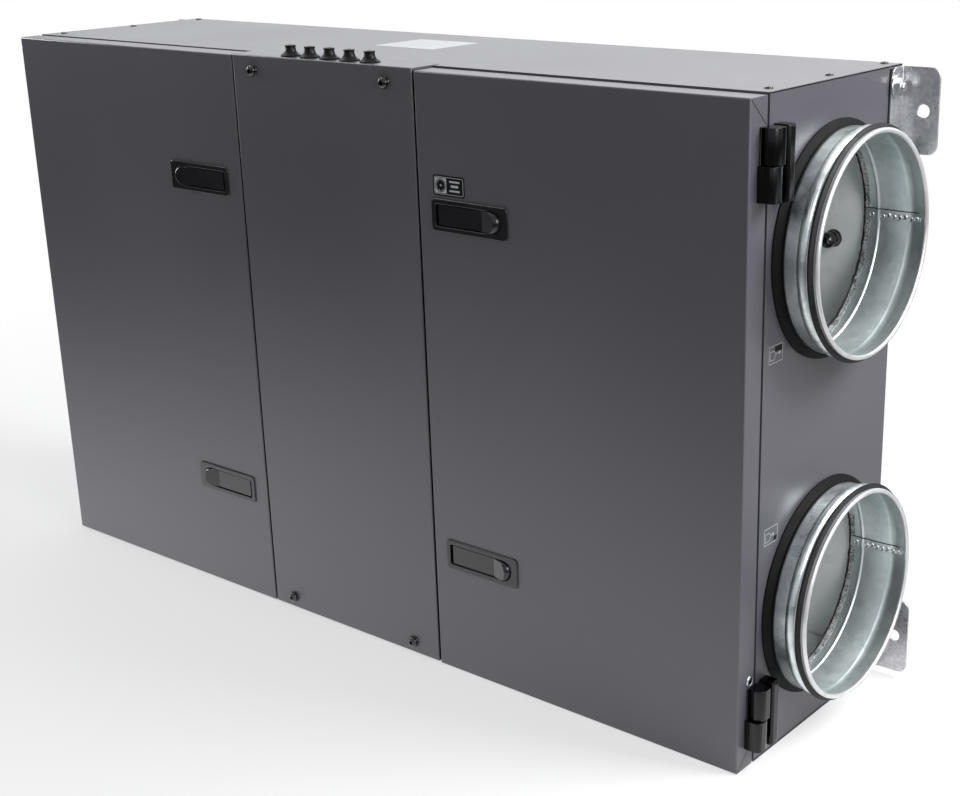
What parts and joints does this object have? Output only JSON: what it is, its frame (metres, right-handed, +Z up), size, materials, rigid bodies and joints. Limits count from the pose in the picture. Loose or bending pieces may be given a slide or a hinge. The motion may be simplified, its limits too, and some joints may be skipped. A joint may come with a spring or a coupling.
{
  "type": "air handling unit",
  "caption": "Compact wall-hung air handling unit: insulated steel casing, hinged doors with lever latches, round duct spigots and wall brackets.",
  "frame": {"origin": "bottom centre of the whole unit's box, on the plane that its underside stands on", "axes": "+X to the right as one faces the doors, +Y from the doors to the wall, +Z up"},
  "size_m": [1.0578, 0.2602, 0.6164],
  "materials": {
    "dark_paint": "dark grey fine-texture powder coat",
    "galvanised_steel": "galvanised sheet, bright",
    "galvanised_liner": "galvanised inner sheet, pale",
    "black_plastic": "moulded black plastic, satin",
    "black_rubber": "matt black rubber",
    "black_foam": "matt black foam"
  },
  "bodies": {
    "casing": {"top_panel": "dark_paint", "bottom_panel": "dark_paint", "back_panel": "dark_paint", "core_housing": "galvanised_liner", "middle_panel": "dark_paint", "cable_grommets": "black_rubber", "left_panel": "dark_paint", "left_shelf": "galvanised_liner", "left_lower_spigot": "galvanised_steel", "left_lower_spigot_gasket": "black_rubber", "left_lower_spigot_collar": "black_foam", "left_lower_bracket": "galvanised_steel", "left_lower_hinge_casing_leaf": "black_plastic", "left_upper_spigot": "galvanised_steel", "left_upper_spigot_gasket": "black_rubber", "left_upper_spigot_collar": "black_foam", "left_upper_bracket": "galvanised_steel", "left_upper_hinge_casing_leaf": "black_plastic", "right_panel": "dark_paint", "right_shelf": "galvanised_liner", "right_lower_spigot": "galvanised_steel", "right_lower_spigot_gasket": "black_rubber", "right_lower_spigot_collar": "black_foam", "right_lower_bracket": "galvanised_steel", "right_lower_hinge_casing_leaf": "black_plastic", "right_upper_spigot": "galvanised_steel", "right_upper_spigot_gasket": "black_rubber", "right_upper_spigot_collar": "black_foam", "right_upper_bracket": "galvanised_steel", "right_upper_hinge_casing_leaf": "black_plastic"},
    "left_door": {"left_door": "dark_paint", "left_lower_hinge_door_leaf": "black_plastic", "left_lower_latch_tray": "black_plastic", "left_upper_hinge_door_leaf": "black_plastic", "left_upper_latch_tray": "black_plastic"},
    "right_door": {"right_door": "dark_paint", "right_lower_hinge_door_leaf": "black_plastic", "right_lower_latch_tray": "black_plastic", "right_upper_hinge_door_leaf": "black_plastic", "right_upper_latch_tray": "black_plastic"},
    "left_lower_lever": {"left_lower_latch_lever": "black_plastic"},
    "left_upper_lever": {"left_upper_latch_lever": "black_plastic"},
    "right_lower_lever": {"right_lower_latch_lever": "black_plastic"},
    "right_upper_lever": {"right_upper_latch_lever": "black_plastic"}
  },
  "joints": [
    {"name": "left_door_hinge", "type": "hinge", "parent": "casing", "child": "left_door", "pos_m": [-0.4959, -0.1021, 0.30225], "axis": [0, 0, -1], "range_deg": [0, 120]},
    {"name": "right_door_hinge", "type": "hinge", "parent": "casing", "child": "right_door", "pos_m": [0.4959, -0.1021, 0.30225], "axis": [0, 0, 1], "range_deg": [0, 120]},
    {"name": "left_lower_lever_pivot", "type": "hinge", "parent": "left_door", "child": "left_lower_lever", "pos_m": [-0.1534, -0.1211, 0.1292], "axis": [0, 0, 1], "range_deg": [0, 60]},
    {"name": "left_upper_lever_pivot", "type": "hinge", "parent": "left_door", "child": "left_upper_lever", "pos_m": [-0.1534, -0.1211, 0.4727], "axis": [0, 0, 1], "range_deg": [0, 60]},
    {"name": "right_lower_lever_pivot", "type": "hinge", "parent": "right_door", "child": "right_lower_lever", "pos_m": [0.1534, -0.1211, 0.1292], "axis": [0, 0, -1], "range_deg": [0, 60]},
    {"name": "right_upper_lever_pivot", "type": "hinge", "parent": "right_door", "child": "right_upper_lever", "pos_m": [0.1534, -0.1211, 0.4727], "axis": [0, 0, -1], "range_deg": [0, 60]}
  ]
}
